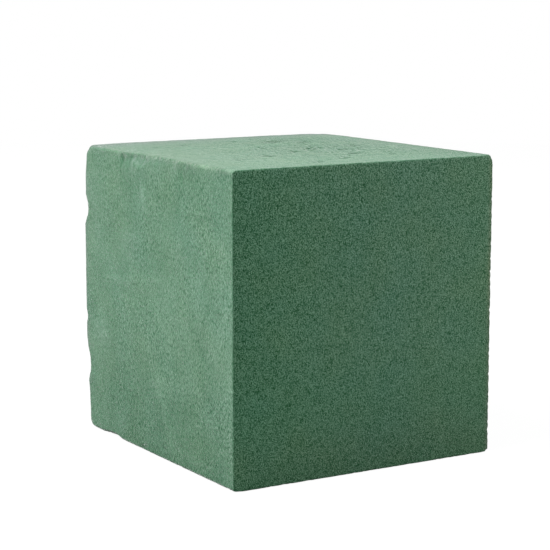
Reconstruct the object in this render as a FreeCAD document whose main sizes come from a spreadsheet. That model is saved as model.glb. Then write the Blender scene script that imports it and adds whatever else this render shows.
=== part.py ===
import FreeCAD, Part
import Sketcher
import math
import os

# Floral foam block: one piece of rigid, open-celled phenolic foam, sawn from a larger bun.
# It is a single solid, because the real block is a single piece of foam.
#
# Frame: millimetres, +Z up. The origin is the middle of the face that the block stands on.
# The fresh sawn face looks towards -Y. The moulded skin face with the worn edges looks
# towards -X. Every dent is cut inwards, so the block's box keeps its full size.

NODE = "foam_block"

# Driving sizes, in millimetres, and one angle in degrees. A dent's length runs along its edge,
# and its two reaches say how far its rim comes in over the two faces that meet at that edge.
SIZES = {
    "block_width": 148.0,
    "block_depth": 158.0,
    "block_height": 150.0,
    # Rounding of the edges: sharp round the sawn face, softer along the skin, worn at the back.
    "sawn_edge_radius": 0.8,
    "skin_edge_radius": 1.5,
    "worn_edge_radius": 3.5,
    # The upright edge between the left face and the back has worn away further at both ends.
    "head_wear_from_top": 6.0,
    "head_wear_length": 52.0,
    "head_wear_on_left": 4.4,
    "head_wear_on_back": 2.1,
    "foot_wear_from_base": 6.0,
    "foot_wear_length": 52.0,
    "foot_wear_on_left": 5.6,
    "foot_wear_on_back": 2.6,
    # Nicks in the same edge. Each leans into the block towards its lower end, where its lip is
    # sharpest.
    "nick_lean": 14.0,
    "upper_nick_from_top": 32.0,
    "upper_nick_length": 19.0,
    "upper_nick_on_left": 6.4,
    "upper_nick_on_back": 3.2,
    "middle_nick_from_base": 60.0,
    "middle_nick_length": 10.0,
    "middle_nick_on_left": 4.0,
    "middle_nick_on_back": 2.1,
    "lower_nick_from_base": 36.0,
    "lower_nick_length": 24.0,
    "lower_nick_on_left": 6.2,
    "lower_nick_on_back": 3.1,
    # Marks in the edge between the left face and the top: a small chip near the front, a pinch
    # behind it, and a long stretch that a hand has rubbed down to a slope, deepest at its heel.
    "chip_from_front": 16.0,
    "chip_length": 4.0,
    "chip_on_left": 1.6,
    "chip_on_top": 2.4,
    "pinch_from_front": 46.0,
    "pinch_length": 6.0,
    "pinch_on_left": 3.4,
    "pinch_on_top": 2.0,
    "rubbed_edge_from_front": 76.0,
    "rubbed_edge_length": 56.0,
    "rubbed_edge_on_left": 3.6,
    "rubbed_edge_on_top": 2.4,
    "rubbed_heel_from_front": 92.0,
    "rubbed_heel_length": 26.0,
    "rubbed_heel_on_left": 6.4,
    "rubbed_heel_on_top": 2.8,
    # Dent in the edge between the left face and the base.
    "foot_dent_from_back": 32.0,
    "foot_dent_length": 26.0,
    "foot_dent_on_left": 1.9,
    "foot_dent_on_base": 3.4,
}

# A dent is the mark of an oval ball whose centre stands off from each of the two faces by this
# many of the dent's reach on the other. The ball's radii then follow from where its rim lies.
BALL_STANDOFF = 1.0
BALL_PER_REACH = math.hypot(1.0 + BALL_STANDOFF, BALL_STANDOFF)
MOUTH_PER_BALL = math.sqrt(1.0 - 2.0 * (BALL_STANDOFF / BALL_PER_REACH) ** 2)

# Which radius of an ellipsoid feature lies along each axis.
BALL_RADIUS = {"x": "Radius2", "y": "Radius3", "z": "Radius1"}
# An upright nick leans about the axis that runs from the front to the back.
LEAN_AXIS = FreeCAD.Vector(0, 1, 0)
# Each outer face of the block: the axis that it faces along, which way, and its level there.
FACES = {
    "left": ("x", -1, "-Sizes.block_width / 2"),
    "right": ("x", 1, "Sizes.block_width / 2"),
    "front": ("y", -1, "-Sizes.block_depth / 2"),
    "back": ("y", 1, "Sizes.block_depth / 2"),
    "base": ("z", -1, "0"),
    "top": ("z", 1, "Sizes.block_height"),
}

doc = FreeCAD.newDocument("FloralFoamBlock")


def make_sheet():
    """Put every driving size in the sheet, with its name beside it and as its alias."""
    sheet = doc.addObject("Spreadsheet::Sheet", "Sizes")
    for row, (name, value) in enumerate(SIZES.items(), start=1):
        sheet.set(f"A{row}", name)
        sheet.set(f"B{row}", str(value))
        sheet.setAlias(f"B{row}", name)
    doc.recompute()
    return sheet


def base_plane(body):
    """The body's own XY plane, which is the plane that the block stands on."""
    return next(item for item in body.Origin.OriginFeatures if item.Role == "XY_Plane")


def make_footprint(body, sheet):
    """The rectangle that the block stands on, centred on the origin."""
    sketch = body.newObject("Sketcher::SketchObject", "Footprint")
    sketch.AttachmentSupport = [(base_plane(body), "")]
    sketch.MapMode = "FlatFace"

    half_width = sheet.block_width / 2
    half_depth = sheet.block_depth / 2
    corners = [
        FreeCAD.Vector(-half_width, -half_depth, 0),
        FreeCAD.Vector(half_width, -half_depth, 0),
        FreeCAD.Vector(half_width, half_depth, 0),
        FreeCAD.Vector(-half_width, half_depth, 0),
    ]
    front, right, back, left = range(len(corners))
    start_point, end_point = 1, 2
    sketch_origin = -1

    def constrain(*terms):
        return sketch.addConstraint(Sketcher.Constraint(*terms))

    for side, corner in enumerate(corners):
        next_side = (side + 1) % len(corners)
        sketch.addGeometry(Part.LineSegment(corner, corners[next_side]))
    for side in (front, right, back, left):
        next_side = (side + 1) % len(corners)
        constrain("Coincident", side, end_point, next_side, start_point)
    constrain("Horizontal", front)
    constrain("Horizontal", back)
    constrain("Vertical", right)
    constrain("Vertical", left)
    constrain("Symmetric", front, start_point, back, start_point, sketch_origin, start_point)
    width = constrain("DistanceX", front, start_point, front, end_point, 2 * half_width)
    depth = constrain("DistanceY", right, start_point, right, end_point, 2 * half_depth)
    sketch.setExpression(f"Constraints[{width}]", "Sizes.block_width")
    sketch.setExpression(f"Constraints[{depth}]", "Sizes.block_depth")
    return sketch


def pad_footprint(body, sketch):
    """Raise the footprint to the block's height."""
    pad = body.newObject("PartDesign::Pad", "SawnBlock")
    pad.Profile = sketch
    pad.setExpression("Length", "Sizes.block_height")
    doc.recompute()
    return pad


def lies_on(body, edge, face):
    """Whether both ends of an edge lie on one of the block's outer faces."""
    axis, _, level = FACES[face]
    height = body.evalExpression(level)
    return all(
        math.isclose(getattr(vertex.Point, axis), height, abs_tol=1e-6)
        for vertex in edge.Vertexes
    )


def round_edges(body, label, face, neighbours, radius):
    """Round the edges where a face meets its neighbours to one radius of the sheet."""
    before = body.Tip
    edges = [
        f"Edge{number}"
        for number, edge in enumerate(before.Shape.Edges, start=1)
        if lies_on(body, edge, face)
        and any(lies_on(body, edge, neighbour) for neighbour in neighbours)
    ]
    fillet = body.newObject("PartDesign::Fillet", label)
    fillet.Base = (before, edges)
    fillet.setExpression("Radius", f"Sizes.{radius}")
    doc.recompute()
    return fillet


def press_dent(body, name, first, second, middle, lean=None):
    """Press an oval dent into the edge where two faces meet.

    middle is the expression for the dent's middle along that edge. lean names the angle by
    which an upright dent tips into the left face towards its lower end.
    """
    dent = body.newObject("PartDesign::SubtractiveEllipsoid", name)
    dent.AttachmentSupport = [(base_plane(body), "")]
    dent.MapMode = "FlatFace"
    dent.AttachmentOffset = FreeCAD.Placement(
        FreeCAD.Vector(), FreeCAD.Rotation(LEAN_AXIS, 0)
    )
    # The whole ball: from its lower pole to its upper one, and all the way round.
    dent.Angle1 = -90
    dent.Angle2 = 90
    dent.Angle3 = 360

    axes_left = set(BALL_RADIUS)
    for face, other in ((first, second), (second, first)):
        axis, outwards, level = FACES[face]
        axes_left.remove(axis)
        # Along this face's own axis, the rim lies as deep as the dent reaches over the other.
        reach = f"Sizes.{name}_on_{other}"
        standoff = outwards * BALL_STANDOFF
        dent.setExpression(f"AttachmentOffset.Base.{axis}", f"{level} + {reach} * {standoff}")
        dent.setExpression(BALL_RADIUS[axis], f"{reach} * {BALL_PER_REACH}")
    (edge_axis,) = axes_left
    dent.setExpression(f"AttachmentOffset.Base.{edge_axis}", middle)
    dent.setExpression(
        BALL_RADIUS[edge_axis], f"Sizes.{name}_length / 2 / {MOUTH_PER_BALL}"
    )
    if lean:
        dent.setExpression("AttachmentOffset.Rotation.Angle", f"-Sizes.{lean}")
    doc.recompute()
    return dent


def make_foam_block(sheet):
    """The block: sawn stock, rounded edges, then the dents that handling has left."""
    body = doc.addObject("PartDesign::Body", NODE)
    body.Label = NODE
    body.Placement = FreeCAD.Placement()
    pad_footprint(body, make_footprint(body, sheet))

    round_edges(body, "WornEdges", "back", ("left", "right", "base", "top"), "worn_edge_radius")
    round_edges(body, "LeftSkinEdges", "left", ("base", "top"), "skin_edge_radius")
    round_edges(body, "RightSkinEdges", "right", ("base", "top"), "skin_edge_radius")
    round_edges(body, "SawnEdges", "front", ("left", "right", "base", "top"), "sawn_edge_radius")

    front = "-Sizes.block_depth / 2"
    back = "Sizes.block_depth / 2"
    top = "Sizes.block_height"
    lean = "nick_lean"
    dents = [
        ("head_wear", "left", "back", f"{top} - Sizes.head_wear_from_top", None),
        ("foot_wear", "left", "back", "Sizes.foot_wear_from_base", None),
        ("upper_nick", "left", "back", f"{top} - Sizes.upper_nick_from_top", lean),
        ("middle_nick", "left", "back", "Sizes.middle_nick_from_base", lean),
        ("lower_nick", "left", "back", "Sizes.lower_nick_from_base", lean),
        ("chip", "left", "top", f"{front} + Sizes.chip_from_front", None),
        ("pinch", "left", "top", f"{front} + Sizes.pinch_from_front", None),
        ("rubbed_edge", "left", "top", f"{front} + Sizes.rubbed_edge_from_front", None),
        ("rubbed_heel", "left", "top", f"{front} + Sizes.rubbed_heel_from_front", None),
        ("foot_dent", "left", "base", f"{back} - Sizes.foot_dent_from_back", None),
    ]
    for name, first, second, middle, leaning in dents:
        volume_before = body.Shape.Volume
        press_dent(body, name, first, second, middle, leaning)
        print(f"{name}: {volume_before - body.Shape.Volume:.1f} cubic millimetres pressed away")
    return body


def check_document():
    """Stop if any object of the document failed to compute."""
    for item in doc.Objects:
        if "Invalid" in item.State or "Error" in item.State:
            raise RuntimeError(f"{item.Label} is {item.State}")


def write_node(body):
    """Check the block's shape and write it to parts, under its node's name."""
    shape = body.Shape
    if shape.isNull() or not shape.isValid() or len(shape.Solids) != 1:
        raise RuntimeError(f"{body.Label} is not one valid solid")
    os.makedirs("parts", exist_ok=True)
    shape.exportStep(os.path.join("parts", body.Label + ".step"))
    box = shape.optimalBoundingBox()
    print(f"{body.Label}: {box.XLength:.3f} x {box.YLength:.3f} x {box.ZLength:.3f} mm")
    print(f"{body.Label}: volume {shape.Volume:.0f} cubic millimetres")


foam_block = make_foam_block(make_sheet())
doc.recompute()
check_document()
write_node(foam_block)
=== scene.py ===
import math

import bpy
import numpy as np
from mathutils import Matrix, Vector
from mathutils.bvhtree import BVHTree


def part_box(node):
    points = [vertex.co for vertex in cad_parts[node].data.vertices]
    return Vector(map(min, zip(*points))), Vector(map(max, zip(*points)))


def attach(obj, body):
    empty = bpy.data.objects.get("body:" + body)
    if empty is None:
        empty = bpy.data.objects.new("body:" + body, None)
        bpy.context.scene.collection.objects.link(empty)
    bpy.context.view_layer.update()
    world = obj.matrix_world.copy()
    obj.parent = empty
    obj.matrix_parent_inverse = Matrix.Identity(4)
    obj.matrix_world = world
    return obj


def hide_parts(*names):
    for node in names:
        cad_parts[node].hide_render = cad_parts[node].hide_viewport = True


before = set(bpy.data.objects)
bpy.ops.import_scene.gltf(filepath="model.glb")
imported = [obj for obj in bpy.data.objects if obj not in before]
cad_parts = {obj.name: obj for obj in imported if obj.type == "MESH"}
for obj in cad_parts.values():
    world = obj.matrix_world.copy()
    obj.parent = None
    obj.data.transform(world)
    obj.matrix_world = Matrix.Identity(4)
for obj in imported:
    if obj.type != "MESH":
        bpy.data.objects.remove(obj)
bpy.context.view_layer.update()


# ---------------------------------------------------------------------------------------------
# The block
# One block of green open-celled phenolic foam, with nothing fixed to it. The front, the right
# side and the base are fresh saw cuts, dark with broken cells. The left side, the back and the
# top are paler skin, dusted with foam powder and rubbed, nicked and pitted in handling.
# ---------------------------------------------------------------------------------------------

mm = 0.001

# Distances of the surface grid's first lines from each edge, and its spacing beyond them.
edge_lines = np.array([0, 0.4, 0.8, 1.3, 2.0, 2.9, 3.9, 5.0]) * mm
grid_spacing = 1.3 * mm

# The flat map of the surface: three sides across and two up, each with a margin round it.
map_columns = 3
map_rows = 2
map_margin = 0.02

low, high = (np.array(corner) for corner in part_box("foam_block"))
middle = (low + high) / 2


def lines_across(start, end):
    """Places of the grid's lines from one edge of the block to the other."""
    count = round((end - start - 2 * edge_lines[-1]) / grid_spacing)
    plain = np.linspace(start + edge_lines[-1], end - edge_lines[-1], count + 1)[1:-1]
    return np.concatenate([start + edge_lines, plain, end - edge_lines[::-1]])


def box_grid(lines):
    """Points and four-sided faces of a box with a grid on each side, and the faces' flat map."""
    # Each point of the grid that lies on a side gets its own number.
    number = np.full([len(places) for places in lines], -1)
    for axis in range(3):
        for end in (0, -1):
            sheet = [slice(None)] * 3
            sheet[axis] = end
            number[tuple(sheet)] = 0
    on_sides = np.argwhere(number == 0)
    number[tuple(on_sides.T)] = np.arange(len(on_sides))
    points = np.stack([lines[axis][on_sides[:, axis]] for axis in range(3)], axis=1)

    faces, map_places = [], []
    for side in range(6):
        axis, end = side // 2, -(side % 2)
        across, up = [other for other in range(3) if other != axis]
        sheet = np.take(number, end, axis=axis)
        u = (lines[across] - lines[across][0]) / np.ptp(lines[across])
        v = (lines[up] - lines[up][0]) / np.ptp(lines[up])
        u, v = np.meshgrid(u, v, indexing="ij")
        flat_sheet = np.stack([
            (side % map_columns + map_margin + u * (1 - 2 * map_margin)) / map_columns,
            (side // map_columns + map_margin + v * (1 - 2 * map_margin)) / map_rows,
        ], axis=2)

        # The corners of a face go round anticlockwise, seen from outside the block.
        corners = [(0, 0), (1, 0), (1, 1), (0, 1)]
        if (axis == 1) == (side % 2 == 1):
            corners = [(0, 0), (0, 1), (1, 1), (1, 0)]
        wide, tall = sheet.shape[0] - 1, sheet.shape[1] - 1
        at_corner = [(slice(over, over + wide), slice(rise, rise + tall)) for over, rise in corners]
        faces.append(np.stack([sheet[part].ravel() for part in at_corner], axis=1))
        map_places.append(np.stack([flat_sheet[part].reshape(-1, 2) for part in at_corner], axis=1))
    return points, np.concatenate(faces), np.concatenate(map_places)


points, faces, map_places = box_grid([lines_across(low[axis], high[axis]) for axis in range(3)])

# The grid is drawn in towards the block's middle until it lies on the solid's own surface, with
# its rounded edges, nicks and dents.
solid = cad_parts["foam_block"].data
solid_tree = BVHTree.FromPolygons([v.co for v in solid.vertices], [p.vertices for p in solid.polygons])


def onto_solid(point):
    """Where the line from just outside a point to the block's middle meets the solid."""
    just_outside = 1.02
    start = Vector(middle + (point - middle) * just_outside)
    hit = solid_tree.ray_cast(start, Vector(middle) - start)[0]
    return hit or solid_tree.find_nearest(Vector(point))[0]


points = np.array([onto_solid(point) for point in points])


def eased(part):
    """The same way from 0 to 1, but with a soft start and a soft end."""
    return part * part * (3 - 2 * part)


def lumps(size, seed, stretch=(1, 1, 1)):
    """Smooth random lumps of a given size at every point, from -1 to 1."""
    count = 64
    seed_shift = 0.37
    lattice = np.random.default_rng(seed).uniform(-1, 1, (count, count, count))
    place = (points - low) / (size * np.array(stretch)) + seed * seed_shift
    whole = np.floor(place).astype(int)
    part = eased(place - whole)
    total = np.zeros(len(points))
    for corner in np.ndindex(2, 2, 2):
        weight = np.prod(np.where(corner, part, 1 - part), axis=1)
        total += weight * lattice[tuple(((whole + corner) % count).T)]
    return total


def fade(distance, reach):
    """1 at no distance, falling smoothly away past the reach."""
    return np.exp(-((distance / reach) ** 2))


def along_edge(from_one, from_other, reach):
    """1 along the edge where two sides meet, falling smoothly away past the reach."""
    return fade(np.hypot(from_one, from_other), reach)


# How far each point is in from the block's six sides, and how much it belongs to each. The cut
# cells make the front's outline ragged, and the skin of the other sides turns a little way over
# the top.
side_blend = 0.35 * mm
turn_over = 0.1 * mm
from_low, from_high = points - low, high - points
from_left, from_front, from_base = from_low.T
from_right, from_back, from_top = from_high.T
ragged = 0.25 * mm * lumps(1.5 * mm, seed=9)
share = {
    name: np.exp(-distance / side_blend)
    for name, distance in {
        "left": from_left, "right": from_right, "front": from_front + ragged,
        "back": from_back, "base": from_base, "top": from_top + turn_over,
    }.items()
}
share_sum = sum(share.values())
max_share = np.max(list(share.values()), axis=0)
sawn = (share["front"] + share["right"] + share["base"]) / share_sum
top = share["top"] / share_sum
skin = 1 - sawn
on_left = share["left"] / share_sum
on_front = share["front"] / share_sum

# Rubbed places lie in from all six sides: the worn edges of the skin, and the nicks in them.
rubbed = skin * (1 - np.clip(2 * max_share, 0, 1))

# How far each point is from the nearest of the twelve edges, where cells crumble away.
from_edge = np.sort(np.minimum(from_low, from_high), axis=1)[:, 1]


def patch(across, up, at, half_size, lean=0):
    """A soft oval patch on one side, 1 at its middle, leaned by some degrees."""
    turn = math.radians(lean)
    right, rise = across - at[0] * mm, up - at[1] * mm
    along = right * math.cos(turn) + rise * math.sin(turn)
    over = rise * math.cos(turn) - right * math.sin(turn)
    return np.exp(-((along / (half_size[0] * mm)) ** 2) - (over / (half_size[1] * mm)) ** 2)


def marked(across, up, marks):
    """The tone and the depth, in millimetres, that a list of marks gives to every point."""
    tone, depth = np.zeros(len(points)), np.zeros(len(points))
    for at, half_size, lean, lighter, deeper in marks:
        mark = patch(across, up, at, half_size, lean)
        tone += lighter * mark
        depth += deeper * mark
    return tone, depth


# Marks on the left side: place from the back and the base, half length and half width, lean, how
# much lighter, and how deep. Rubs are light with powder. The dark marks in the nicks and dents are
# painted shade, and the other dark marks are darker, shallow patches.
left_tone_and_shade, left_depth = marked(from_back, from_base, [
    # Thumb marks and rubs below the top edge.
    ((47, 146), (3.6, 1.6), 75, -1.60, 0.90),
    ((55, 147), (2.8, 1.1), 70, -0.90, 0.70),
    ((53, 147), (8, 3), 0, 0.15, 0.60),
    ((58, 143), (4.5, 1.6), 80, 0.60, 0.00),
    ((69, 130.5), (5.0, 3.0), 100, 1.50, -0.10),
    ((68, 144), (26, 6), 0, 0.20, -0.10),
    ((82, 149), (14, 2.6), 0, -1.10, 0.00),
    ((102, 145), (7, 3), 0, 0.65, 0.00),
    ((101, 138), (12, 9), 0, -0.40, 0.10),
    ((110, 144), (4.0, 3.0), 70, -0.60, 0.50),
    ((117, 147), (6, 5), 0, -0.50, 0.00),
    ((138, 146), (12, 5), 0, 0.35, 0.00),
    ((13, 137), (3.0, 1.0), 70, 0.50, 0.00),
    # A long scrape across the middle, and the hollow under it.
    ((42, 85), (18, 1.5), 5, 0.60, -0.15),
    ((76, 89), (20, 1.5), 4, 0.60, -0.15),
    ((64, 80), (14, 3.5), 4, -0.35, 0.15),
    # Rubs, darker patches and a dent lower down.
    ((37, 104), (10, 7), 0, -0.25, 0.10),
    ((52, 108), (9, 9), 0, 0.20, -0.10),
    ((24, 54), (6, 5), 0, 1.00, -0.20),
    ((130, 60), (10, 7), -40, -0.50, 0.30),
    ((84, 38), (9, 6), -62, 0.60, -0.10),
    ((93, 21), (11, 3.2), -62, 0.85, -0.15),
    ((46, 12), (5, 1.6), 75, 0.55, -0.15),
    ((66, 1), (4, 2), 20, -0.90, 0.60),
    # Broad clouds; the side is darkest along its foot, where it is painted shade near the table.
    ((90, 2), (120, 38), 0, -0.95, 0.00),
    ((90, 0), (120, 5), 0, -0.70, 0.00),
    ((54, 14), (16, 16), 0, -0.30, 0.00),
    ((44, 30), (26, 14), 0, -0.15, 0.20),
    ((112, 30), (26, 12), 0, -0.20, 0.10),
    ((62, 46), (16, 9), 0, -0.50, 0.10),
    ((66, 68), (18, 8), 0, -0.15, 0.00),
    ((60, 72), (40, 24), 0, 0.15, 0.00),
    ((106, 84), (16, 9), 0, 0.35, 0.00),
    ((140, 75), (36, 26), 0, 0.30, 0.00),
    ((151, 80), (5, 90), 0, 0.35, 0.00),
    ((10, 120), (8, 26), 0, 0.20, 0.00),
])

# Where powder lies thick on the left side, by place, half size, lean and thickness, and where its
# cells are filled smooth along the top edge.
powder_marks = [
    ((58, 143), (5, 3), 80, 0.40),
    ((68, 145), (28, 7), 0, 0.15),
    ((67, 131), (6, 2.6), 100, 0.25),
    ((22, 53), (6, 6), 0, 0.25),
    ((57, 104), (9, 8), 0, 0.20),
    ((106, 102), (7, 7), 0, 0.15),
    ((46, 12), (6, 2), 75, 0.20),
    ((12, 118), (8, 16), 0, 0.20),
    ((100, 148), (50, 3), 0, 0.30),
]
left_powder = 0.10 * fade(from_front, 60 * mm)
for at, half_size, lean, thickness in powder_marks:
    left_powder += thickness * patch(from_back, from_base, at, half_size, lean)
filled_smooth = patch(from_back, from_base, (100, 150), (44, 5))

# Marks on the top: place from the left and the front, then the same as above.
top_marks_and_shade, top_depth = marked(from_left, from_front, [
    # Pits and finger dents, painted dark as their shade.
    ((107, 112), (5.0, 2.6), 60, -2.10, 1.32),
    ((95, 122.5), (8.0, 3.6), 25, -2.55, 1.44),
    ((73, 67), (3.6, 2.4), 62, -2.55, 1.56),
    ((88.5, 75.0), (3.6, 2.6), 20, -2.25, 1.32),
    ((102, 65.5), (3.6, 2.8), 50, -1.65, 1.08),
    ((118, 81), (4.4, 3.2), 55, -1.95, 1.08),
    ((95, 46), (4.0, 2.4), 60, -1.35, 0.84),
    ((94, 42), (3.2, 1.8), 20, -1.20, 0.72),
    ((86, 36), (2.6, 1.6), 60, -1.20, 0.72),
    ((77.5, 27), (3.0, 2.2), 50, -2.40, 1.32),
    ((56, 17), (3.2, 2.2), 40, -2.40, 1.32),
    ((50, 53), (3, 4), -10, -1.80, 0.96),
    ((29, 44), (3, 4), 0, -0.75, 0.48),
    ((110, 33), (4.4, 1.6), 60, -1.35, 0.84),
    ((42, 125), (3.6, 1.8), 50, -1.50, 0.84),
    ((77, 133), (3.6, 1.8), 65, -1.50, 0.84),
    ((24, 122), (3, 1.8), 60, -1.20, 0.60),
    # Pale marks.
    ((106, 99), (5, 3), 20, 1.05, -0.12),
    ((84, 104), (9, 7), 0, 0.60, 0.00),
    ((62, 102), (10, 8), 0, 0.45, 0.00),
    ((82, 137), (8, 7), 0, 0.60, 0.00),
    ((57, 38), (5, 1.8), 50, 1.05, -0.12),
    ((130, 62), (6, 1.8), 60, 1.05, -0.12),
    ((38, 110), (3, 3), 0, 1.05, -0.12),
    ((1, 28), (1.5, 4.5), 0, 1.20, 0.00),
    ((1, 4), (1.5, 3), 0, 1.20, 0.00),
])

# The middle of the top is pitted all over with small dents, and the rest has a few. The dents are
# painted darker, as their shade.
few_dents = 0.08
dent_shade = 2.2
dent_depth = 2.0
pitted = patch(from_left, from_front, (92, 74), (26, 34), 20)
dents = (pitted + few_dents) * np.clip(lumps(3.0 * mm, seed=4, stretch=(1.5, 1, 1)) - 0.25, 0, 1)
top_marks_and_shade += 0.15 * lumps(6 * mm, seed=10) - dent_shade * dents
top_depth += dent_depth * dents

# The top is painted palest at its near left and darker towards its right, as the light of the high lamp on
# the left falls on it. Towards the two sides furthest from there it is smoother and more powdery, and their
# rims are painted dark and grey, as the shade and sheen where the surface turns down.
top_painted_light = 0.08 + 0.7 * patch(from_left, from_front, (15, 50), (50, 70))
top_painted_light += 0.25 * patch(from_left, from_front, (50, 12), (70, 22))
top_painted_light += 0.30 * patch(from_left, from_front, (4, 120), (14, 50))
top_painted_light -= 0.5 * patch(from_right, from_back, (30, 30), (70, 60))
top_painted_light -= 0.9 * patch(from_right, from_front, (8, 20), (22, 40))
top_powder = 0.8 * fade(np.minimum(from_back, 1.3 * from_right), 32 * mm)
from_far_sides = np.minimum(from_back, from_right)
far_smooth = fade(from_far_sides, 40 * mm)
far_rim_shade_and_sheen = fade(from_far_sides, 4.0 * mm)

# Painted shade: the front is darker along its left edge and at its foot, where less light reaches it.
front_painted_shade = marked(from_left, from_base, [
    ((0, 75), (5, 100), 0, -0.22, 0),
    ((0, 75), (26, 100), 0, -0.28, 0),
    ((74, 0), (120, 12), 0, -0.55, 0),
    ((74, 16), (100, 32), 0, -0.30, 0),
    ((148, 20), (22, 50), 0, -0.16, 0),
])[0]

# Where the red, the green and the blue are more or less than in the plain foam, and by what share.
# The cut foam is painted greener towards its left edge, where the sheen from the low lamp on the right is
# thinner, and duller and redder towards its foot, for the light thrown up from the table. Its right edge is
# browner, and bluer lower down, as the far rims of the top are.
right_edge = on_front * fade(from_right, 2.0 * mm)
tints = [
    (on_front, (0.035, 0, 0.028)),
    (on_front * fade(from_left, 55 * mm), (-0.10, 0, -0.08)),
    (on_front * fade(from_base - 8 * mm, 14 * mm), (0.09, 0, 0)),
    (on_front * fade(from_base - 38 * mm, 14 * mm), (-0.03, 0, 0)),
    (on_front * fade(from_right, 28 * mm), (0, 0, -0.05)),
    (right_edge, (0.34, -0.10, -0.12)),
    (right_edge * fade(from_base, 60 * mm), (0, 0, 0.20)),
    (top * fade(from_back, 22 * mm), (0.06, 0, 0.018)),
    (top * fade(from_right, 16 * mm), (0.06, 0, 0.018)),
    (top * fade(from_back - 9 * mm, 9 * mm), (0, -0.09, 0)),
    (top * fade(from_front, 40 * mm), (-0.02, 0.03, 0.01)),
    (top * far_rim_shade_and_sheen, (0.10, 0, -0.04)),
]
hue = np.ones((len(points), 3))
for where, change in tints:
    hue += np.outer(where, change)

# The marks of the top darken and lighten all three alike, and its dents are painted shade. The worn,
# rounded edges of the left side are painted greyer, as the sheen on them, the upper one more so towards
# the front.
mark_strength = 0.22
top_edge_sheen_share = 0.5 + (from_back - 20 * mm) / (120 * mm)
top_edge_sheen = np.clip(along_edge(from_left, from_top, 2.4 * mm) * top_edge_sheen_share, 0, 1.3)
hue *= np.exp(mark_strength * top * top_marks_and_shade)[:, None]
hue *= 1 + np.outer(along_edge(from_left, from_back, 3.6 * mm), (0.10, -0.03, 0.04))
hue *= 1 + np.outer(top_edge_sheen, (0.13, -0.01, 0.03))


def hollows(depth, size, seed):
    """Random hollows of a given size in millimetres, of that depth on the whole."""
    return depth * (1 + lumps(size * mm, seed))


# Depth pressed into the solid's surface at each point, in millimetres. Cells have crumbled away
# along the edges, and are torn out of the one between the front and the right side.
sawn_depth = hollows(depth=0.05, size=1.6, seed=1)
skin_depth = hollows(depth=0.10, size=24, seed=2) + hollows(depth=0.05, size=6, seed=3)
top_depth += hollows(depth=0.06, size=3.4, seed=5) + hollows(depth=0.03, size=9, seed=8)
crumbling = np.clip(lumps(1.5 * mm, seed=6) + 0.25 * lumps(4 * mm, seed=7), 0, 1)
crumbs = (0.35 - 0.15 * skin) * fade(from_edge, 1.2 * mm) * crumbling * (1 - 0.8 * rubbed)
crumbs *= 1 - 0.7 * along_edge(from_left, from_top, 2.5 * mm)
torn = 0.9 * along_edge(from_front, from_right, 1.0 * mm) * np.clip(lumps(1.2 * mm, seed=12), 0, 1)
away_from_edges = np.clip(from_edge / (2 * mm), 0, 1)
depth = crumbs + torn + sawn * sawn_depth + on_left * left_depth
depth += ((skin - top) * skin_depth + top * top_depth) * away_from_edges

# The worn back edge of the left side: height, half height, and how much further it is rubbed
# away, or less where that is negative, so that each nick ends in a lip below it.
edge_wear = [
    (145, 6.0, 0.6),
    (126, 4.0, 0.7),
    (112, 1.8, -0.7),
    (43, 4.0, 0.6),
    (28, 1.6, -0.5),
    (22, 5.0, 0.4),
]
back_left = along_edge(from_left, from_back, 7 * mm)
wear = sum(much * fade(from_base - height * mm, half * mm) for height, half, much in edge_wear)

# One millimetre of wear across an edge, shared out between the two sides that meet there.
slantwise = math.sqrt(0.5) * mm
points[:, 0] += wear * back_left * slantwise
points[:, 1] -= wear * back_left * slantwise

# Chips along the top edge of the left side, mostly near the front: place from the back, half
# length, and depth.
edge_chips = [(65, 6, 0.4), (121, 4.5, 0.5), (131, 5.0, 1.1), (140, 3.0, 0.7), (155, 3.0, 0.8)]
top_left = along_edge(from_left, from_top, 1.8 * mm)
chipped = sum(much * fade(from_back - place * mm, half * mm) for place, half, much in edge_chips)
points[:, 0] += chipped * top_left * slantwise
points[:, 2] -= chipped * top_left * slantwise

# The foot of the left side is worn a little too.
foot_wear = 0.45 * mm
points[:, 2] += foot_wear * along_edge(from_left, from_base, 3 * mm)

# The two far corners of the top sag a little.
far_sag = 0.3 * mm
sagging = patch(from_left, from_back, (5, 0), (10, 14)) + patch(from_right, from_back, (2, 2), (9, 14))
points[:, 2] -= far_sag * sagging * fade(from_top, 4 * mm)

# Corners knocked round: which way each one points, how far the round reaches along its three edges,
# and how full it is, from 0 for a sharp corner to 1 for a ball's.
worn_corners = {
    (-1, 1, 1): ((6, 14, 6), 0.85),
    (-1, 1, -1): ((5, 11, 4.5), 0.9),
    (1, 1, 1): ((7, 7, 4), 0.8),
    (1, 1, -1): ((5, 4, 4), 0.8),
    (-1, -1, 1): ((2, 2, 2), 0.5),
    (1, -1, 1): ((3.5, 3, 4.5), 0.7),
    (-1, -1, -1): ((2, 2, 2), 0.6),
    (1, -1, -1): ((2.6, 2.6, 2.0), 0.7),
}
for way, (reach, fullness) in worn_corners.items():
    reach = np.array(reach) * mm
    centre = np.where(np.array(way) > 0, high, low) - way * reach
    out = (points - centre) * way / reach
    near = eased(np.clip(out.min(axis=1), 0, 1))
    length = np.maximum(np.linalg.norm(out, axis=1), 1)
    pulled = centre + (points - centre) * (1 - fullness * near * (1 - 1 / length))[:, None]
    points = np.where(near[:, None] > 0, pulled, points)

mesh = bpy.data.meshes.new("foam_brick")
mesh.from_pydata(points, [], faces)
mesh.polygons.foreach_set("use_smooth", np.ones(len(faces), bool))
normals = np.array([n.vector for n in mesh.vertex_normals])
points = np.clip(points - normals * (depth * mm)[:, None], low, high)
mesh.vertices.foreach_set("co", points.ravel())
flat_map = mesh.uv_layers.new(name="OFBake")
flat_map.uv.foreach_set("vector", map_places.ravel())
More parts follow.
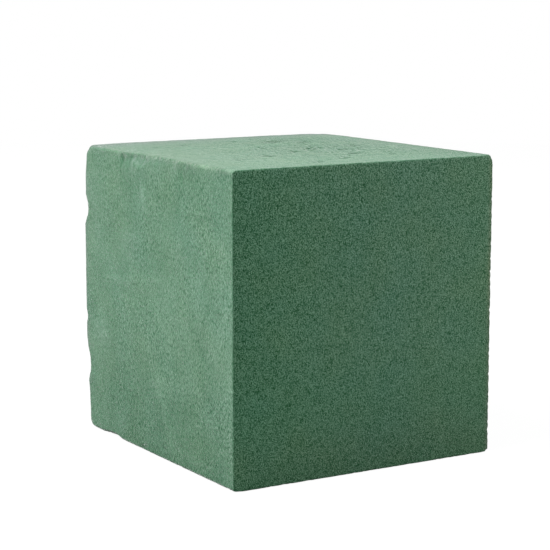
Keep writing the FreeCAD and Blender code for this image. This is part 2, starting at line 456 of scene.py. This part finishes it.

# What the material reads at every point: which finish lies there, how light it is, painted light and
# shade included, how thick the powder and painted sheen, how pitted and how ridged it is, and how
# strongly the grain of its cells shows.
one_side = 150 * mm
# The band under the top edge of the left side, and its chips, take the top's paler colour, which is partly
# painted light.
turned_up = np.clip(fade(from_top, 1.2 * mm) + 0.7 * np.clip(chipped, 0, 1) * top_left, 0, 1)
back_edge_sheen_and_shade = along_edge(from_left, from_back, 4.5 * mm)
# The edges are painted darker, as the shade in their broken cells, and greyer on the skin, as painted
# sheen. Rubbed places are a little darker, and greyer with powder. The back edge of the left side is
# painted darker and greyer, as the shade and sheen on its rounding.
edge_line = fade(from_edge, 0.6 * mm) * (1 - rubbed)
edge_shade = (0.1 + 0.4 * sawn) * (1 - top) * edge_line + 0.25 * rubbed + 0.5 * back_edge_sheen_and_shade
edge_powder_and_sheen = 0.5 * rubbed + 0.35 * (skin - top) * edge_line + 1.6 * back_edge_sheen_and_shade
left_grain = 0.32 * from_back / one_side - 0.17 - 0.5 * filled_smooth
front_grain = 0.18 - (0.12 * from_left + 0.16 * from_top) / one_side
painted = {
    "sawn": sawn,
    "top": top * (1 - rubbed) + on_left * turned_up,
    "tone": on_left * left_tone_and_shade + top * (top_painted_light - 1.5 * far_rim_shade_and_sheen) + on_front * front_painted_shade - edge_shade,
    "powder_and_sheen": np.clip(edge_powder_and_sheen + top * (0.5 * far_rim_shade_and_sheen + top_powder) + on_left * left_powder, 0, 2),
    "pitted": top * pitted,
    "ridged": top * (0.90 + 0.50 * pitted - 0.50 * far_smooth - 0.15 * fade(from_front, 25 * mm)),
    "grain": 1 + on_left * left_grain + on_front * front_grain,
}
for name, values in painted.items():
    mesh.attributes.new(name, "FLOAT", "POINT").data.foreach_set("value", values)
mesh.attributes.new("hue", "FLOAT_VECTOR", "POINT").data.foreach_set("vector", hue.ravel())
mesh.update()

block = bpy.data.objects.new("foam_brick", mesh)
bpy.context.collection.objects.link(block)


class Wire:
    """One output of a shader node. Arithmetic on it adds Math nodes to its material."""

    def __init__(self, node, name):
        self.tree = node.id_data
        self.output = node.outputs[name]

    def add(self, kind, out, settings, sockets):
        """The output called out of a new node, made with its settings and then its sockets filled."""
        node = self.tree.nodes.new(kind)
        for name, value in settings.items():
            setattr(node, name, value)
        for name, value in sockets.items():
            if isinstance(value, Wire):
                self.tree.links.new(value.output, node.inputs[name])
            else:
                node.inputs[name].default_value = value
        return Wire(node, out)

    def maths(self, operation, *values, clamp=False):
        """The result of a Math node on those values."""
        settings = {"operation": operation, "use_clamp": clamp}
        return self.add("ShaderNodeMath", "Value", settings, dict(enumerate(values)))

    def __add__(self, other):
        return self.maths("ADD", self, other)

    def __sub__(self, other):
        return self.maths("SUBTRACT", self, other)

    def __mul__(self, other):
        return self.maths("MULTIPLY", self, other)

    def __rsub__(self, other):
        return self.maths("SUBTRACT", other, self)

    __radd__ = __add__
    __rmul__ = __mul__


def foam():
    """Green phenolic foam: dark open cells where it is sawn, powdery and paler on the skin."""
    skin_green = (0.106, 0.232, 0.141, 1)
    sawn_green = (0.0725, 0.171, 0.1005, 1)
    # The top's green is paler, for its powder and as painted light and sheen from the high lamp and the low
    # view.
    top_lit_green = (0.134, 0.284, 0.175, 1)
    dust_and_sheen_green = (0.270, 0.310, 0.310, 1)
    darkest_shade = 0.35
    shade_power = 2.2
    tone_strength = 0.12
    material = bpy.data.materials.new("foam")
    material.use_nodes = True
    tree = material.node_tree
    shader = tree.nodes["Principled BSDF"]
    place = Wire(tree.nodes.new("ShaderNodeTexCoord"), "Object")

    def painted_on(name, out="Fac"):
        return place.add("ShaderNodeAttribute", out, {"attribute_name": name}, {})

    def times(first, second):
        settings = {"operation": "MULTIPLY"}
        return place.add("ShaderNodeVectorMath", "Vector", settings, {0: first, 1: second})

    def stretched(length, axis=2):
        """Places squeezed along an axis, usually upright, so that what is laid on them comes out longer."""
        return times(place, tuple(1 / length if other == axis else 1 for other in range(3)))

    def noise(size, detail=0.0, at=place):
        """Random clouds about as large as size, around 0."""
        sockets = {"Vector": at, "Scale": 1 / size, "Detail": detail, "Roughness": 0.6}
        return place.add("ShaderNodeTexNoise", "Fac", {}, sockets) - 0.5

    def cells(size, at):
        """Foam cells about as large as size: above 0 near the middle of each, and below 0 in its walls."""
        usual_distance = 0.52
        sockets = {"Vector": at, "Scale": 1 / size, "Randomness": 1.0}
        return usual_distance - place.add("ShaderNodeTexVoronoi", "Distance", {}, sockets)

    def grains(size, at):
        """A random shade for each foam cell, around 0."""
        sockets = {"Vector": at, "Scale": 1 / size, "Randomness": 1.0}
        return place.add("ShaderNodeTexVoronoi", "Color", {}, sockets) - 0.5

    def mix(factor, first, second):
        settings = {"data_type": "RGBA", "clamp_factor": False}
        return place.add("ShaderNodeMix", 2, settings, {0: factor, 6: first, 7: second})

    is_sawn = painted_on("sawn")
    is_top = painted_on("top")
    is_ridged = painted_on("ridged")
    powder_and_sheen = painted_on("powder_and_sheen")

    # The open cells, which thick powder fills.
    sawn_places = stretched(1.3)
    sawn_cells = (grains(0.4 * mm, sawn_places) * 0.80 + cells(0.4 * mm, sawn_places) * 0.45) * is_sawn
    skin_cells = cells(0.75 * mm, stretched(2.2)) * 0.65
    skin_cells = skin_cells * (1 - is_sawn) * (1 - is_top * 0.40) * (noise(22 * mm) + 1)
    filled = powder_and_sheen.maths("MINIMUM", powder_and_sheen, 1.0) * 0.7
    speckle = (sawn_cells + skin_cells) * painted_on("grain") * (1 - filled)

    # Larger unevenness: upright streaks down the skin, and ridges and pits in the top.
    coarse = noise(1.6 * mm, 1.0, stretched(1.5))
    clouds = noise(18 * mm, 2.0)
    streaks = noise(2.2 * mm, 1.0, stretched(6.0))
    ridges = noise(2.1 * mm, 2.0, stretched(1.8, 0)) * is_ridged
    pits = noise(2.8 * mm, 1.0)
    pits = pits.maths("MULTIPLY_ADD", pits, 9.0, -1.0, clamp=True) * (painted_on("pitted") + 0.15) * is_top

    # The ridges of the top are painted lighter and darker, and its pits darker, as the light and shade of
    # their relief; both are bumped as well.
    shade = speckle + coarse * 0.06 * (1 - is_sawn)
    shade = shade + clouds * (0.24 - is_sawn * 0.20 - is_top * 0.16)
    shade = shade + streaks * (1 - is_sawn) * 0.12
    shade = shade + ridges * 0.56 - pits * 0.22 + painted_on("tone") * tone_strength

    def shaded(strength):
        """How much of one of the three colours is left in a place of that shade, 1 at a shade of 0."""
        brightness = shade * strength + 1
        return shade.maths("POWER", shade.maths("MAXIMUM", brightness, darkest_shade), shade_power)

    tint = noise(26 * mm, 1.0) * (is_sawn * 0.04 + 0.10)
    base = mix(is_top, mix(is_sawn, skin_green, sawn_green), top_lit_green)
    # Powder, and painted sheen along edges and rims, mix the colour towards a pale grey.
    base = mix(powder_and_sheen * (streaks * 3 + 1) * 0.25, base, dust_and_sheen_green)
    left_over = place.add("ShaderNodeCombineXYZ", "Vector", {}, {
        "X": shaded(is_top * 0.35 + 1.25) * (1 - tint),
        "Y": shaded(0.80),
        "Z": shaded(is_top * 0.15 + 1.05) * (tint + 1),
    })
    colour = times(times(base, left_over), painted_on("hue", "Vector"))
    tree.links.new(colour.output, shader.inputs["Base Color"])

    height = cells(0.5 * mm, stretched(1.5)) * 0.28 + coarse * 0.25
    height = height + noise(2.2 * mm, 1.0) * is_ridged * 0.9 + ridges * 2.6 - pits * 0.8
    bump = place.add("ShaderNodeBump", "Normal", {}, {"Strength": 1.0, "Distance": mm, "Height": height})
    tree.links.new(bump.output, shader.inputs["Normal"])
    shader.inputs["Roughness"].default_value = 0.9
    shader.inputs["Specular IOR Level"].default_value = 0.05
    shader.inputs["Sheen Weight"].default_value = 0.60
    shader.inputs["Sheen Roughness"].default_value = 0.25
    return material


mesh.materials.append(foam())
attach(block, "root")
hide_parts("foam_block")


# ---------------------------------------------------------------------------------------------
# The table and the light
# A plain white table top in a white room. One wide soft lamp stands high on the left, level with
# the block, and a weak one low on the right, and an even glow comes from all round.
# ---------------------------------------------------------------------------------------------

table_radius = 1.8
rim_points = 64
table_grey = (0.42, 0.42, 0.42, 1)
table_brightness = 1.16
table_glow_share = 0.82
room_glow = 0.38
room_white = (1, 1, 1, 1)
lamps = {
    "lamp_high_left": {"place": (-1.00, 0.20, 1.43), "width": 1.2, "power": 38.5},
    "lamp_low_right": {"place": (0.62, -0.42, 0.32), "width": 0.4, "power": 3.2},
}

table_mesh = bpy.data.meshes.new("table")
turns = np.linspace(0, 2 * math.pi, rim_points, endpoint=False)
rim = np.stack([np.cos(turns), np.sin(turns), np.zeros(rim_points)], axis=1) * table_radius
table_mesh.from_pydata(rim, [], [range(rim_points)])
table = bpy.data.objects.new("table", table_mesh)
bpy.context.collection.objects.link(table)

# The table is a matt grey to the light that falls on it. Seen from the camera it mostly glows
# white, and enough of the grey is left to show the block's shadow.
table_white = bpy.data.materials.new("table_white")
table_white.use_nodes = True
table_tree = table_white.node_tree
table_finish = table_tree.nodes["Material Output"].inputs["Surface"]
table_tree.nodes.remove(table_tree.nodes["Principled BSDF"])
seen = Wire(table_tree.nodes.new("ShaderNodeLightPath"), "Is Camera Ray")
matt = seen.add("ShaderNodeBsdfDiffuse", "BSDF", {}, {"Color": table_grey})
white = seen.add("ShaderNodeEmission", "Emission", {}, {"Strength": table_brightness})
laid = seen.add("ShaderNodeMixShader", 0, {}, {0: seen * table_glow_share, 1: matt, 2: white})
table_tree.links.new(laid.output, table_finish)
table_mesh.materials.append(table_white)

# The room is white where it is seen, also in a reflection, and only glows a little on the block.
room = bpy.data.worlds.new("room")
bpy.context.scene.world = room
room.use_nodes = True
background = room.node_tree.nodes["Background"]
rays = room.node_tree.nodes.new("ShaderNodeLightPath")
direct = Wire(rays, "Is Camera Ray") + Wire(rays, "Is Glossy Ray") + Wire(rays, "Is Transmission Ray")
glow = direct * (1 - room_glow) + room_glow
room.node_tree.links.new(glow.output, background.inputs["Strength"])
background.inputs["Color"].default_value = room_white

for name, lamp in lamps.items():
    light = bpy.data.lights.new(name, "AREA")
    light.shape = "DISK"
    light.size = lamp["width"]
    light.energy = lamp["power"]
    light_object = bpy.data.objects.new(name, light)
    light_object.location = lamp["place"]
    aim = Vector(middle) - light_object.location
    light_object.rotation_euler = aim.to_track_quat("-Z", "Y").to_euler()
    bpy.context.collection.objects.link(light_object)


# ---------------------------------------------------------------------------------------------
# The camera
# It stands about a metre off, a little above the block, and looks at the edge between the front
# and the left side.
# ---------------------------------------------------------------------------------------------

view_point = Vector(middle) + Vector((-0.00185, 0.00301, 0.01017))
view_distance = 0.9388
view_turn = math.radians(-31.22)
view_rise = math.radians(9.09)
focal_length = 119.74
sensor_width = 36

camera_data = bpy.data.cameras.new("camera")
camera_data.lens = focal_length
camera_data.sensor_width = sensor_width
camera = bpy.data.objects.new("camera", camera_data)
back = Vector((
    math.sin(view_turn) * math.cos(view_rise),
    -math.cos(view_turn) * math.cos(view_rise),
    math.sin(view_rise),
))
camera.location = view_point + back * view_distance
camera.rotation_euler = back.to_track_quat("Z", "Y").to_euler()
bpy.context.collection.objects.link(camera)
bpy.context.scene.camera = camera
bpy.context.scene.view_settings.view_transform = "Standard"
